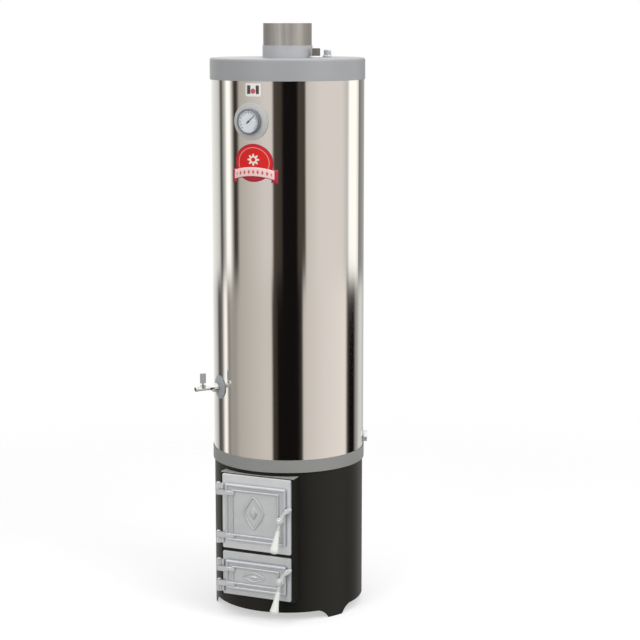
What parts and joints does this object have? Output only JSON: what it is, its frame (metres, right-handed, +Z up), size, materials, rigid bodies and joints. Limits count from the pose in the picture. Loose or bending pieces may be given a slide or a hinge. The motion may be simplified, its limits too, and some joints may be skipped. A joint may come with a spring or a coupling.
{
  "type": "wood-fired water heater",
  "caption": "Upright wood-fired water heater: black firebox stand with hinged cast doors, polished jacket, flue stub, dial thermometer and tap.",
  "frame": {"origin": "on the floor, at the middle of the rectangle that the whole object covers; the heater's own axis stands behind it, at x = 0", "axes": "+Z up along the heater, -Y towards the side with the doors, +X to the right of someone who faces the doors"},
  "size_m": [0.4, 0.4546, 1.531],
  "materials": {
    "black_enamel": "satin black heat paint",
    "raw_steel": "bare mill steel",
    "grate_iron": "bare casting",
    "flue_steel": "bare rolled tube",
    "grey_paint": "satin grey",
    "ring_paint": "matt grey, darker than the cover",
    "mirror_steel": "mirror-polished stainless sheet",
    "silver_casting": "silver heat paint",
    "plated_steel": "zinc plated",
    "dark_steel": "dull",
    "tap_chrome": "polished",
    "white_grip": "smooth",
    "grey_plastic": "satin",
    "dial_white": "printed",
    "needle_black": "satin",
    "clear_glass": "clear"
  },
  "bodies": {
    "heater": {"ash_floor": "black_enamel", "ash_frame": "silver_casting", "ash_hinge_pins": "plated_steel", "ash_keeper": "silver_casting", "base_shell": "black_enamel", "bottom_ring": "ring_paint", "box_ledge": "black_enamel", "box_left_side": "black_enamel", "box_right_side": "black_enamel", "box_underside": "black_enamel", "cold_inlet": "plated_steel", "door_panel": "black_enamel", "drain_plug": "plated_steel", "fire_grate": "grate_iron", "fire_tube": "flue_steel", "firebox_frame": "silver_casting", "firebox_hinge_pins": "plated_steel", "firebox_keeper": "silver_casting", "flue_collar": "grey_paint", "gauge_case": "plated_steel", "gauge_dial": "dial_white", "gauge_glass": "clear_glass", "gauge_needle": "needle_black", "gauge_rosette": "grey_plastic", "grate_ring": "raw_steel", "hot_outlet": "dark_steel", "jacket": "mirror_steel", "jacket_seam": "mirror_steel", "tank_bottom": "black_enamel", "tank_shell": "raw_steel", "tank_top": "raw_steel", "tap_body": "tap_chrome", "tap_rosette": "grey_plastic", "top_cover": "grey_paint"},
    "firebox_door": {"firebox_leaf": "silver_casting", "firebox_shield": "grate_iron", "firebox_latch_pin": "plated_steel"},
    "ash_door": {"ash_leaf": "silver_casting", "ash_latch_pin": "plated_steel"},
    "firebox_lever": {"firebox_latch": "plated_steel", "firebox_grip": "white_grip"},
    "ash_lever": {"ash_latch": "plated_steel", "ash_grip": "white_grip"},
    "tap_handle": {"tap_key": "grey_plastic"}
  },
  "joints": [
    {"name": "firebox_hinge", "type": "hinge", "parent": "heater", "child": "firebox_door", "pos_m": [-0.106, -0.17838, 0.28325], "axis": [0, 0, -1], "range_deg": [0, 135]},
    {"name": "ash_hinge", "type": "hinge", "parent": "heater", "child": "ash_door", "pos_m": [-0.106, -0.17838, 0.116], "axis": [0, 0, -1], "range_deg": [0, 135]},
    {"name": "firebox_latch_pivot", "type": "hinge", "parent": "firebox_door", "child": "firebox_lever", "pos_m": [0.075, -0.18787, 0.27725], "axis": [0, -1, 0], "range_deg": [0, 80]},
    {"name": "ash_latch_pivot", "type": "hinge", "parent": "ash_door", "child": "ash_lever", "pos_m": [0.075, -0.18787, 0.1165], "axis": [0, -1, 0], "range_deg": [0, 80]},
    {"name": "tap_key_turn", "type": "hinge", "parent": "heater", "child": "tap_handle", "pos_m": [-0.15748, -0.15906, 0.608], "axis": [0, 0, 1], "range_deg": [0, 90]}
  ]
}
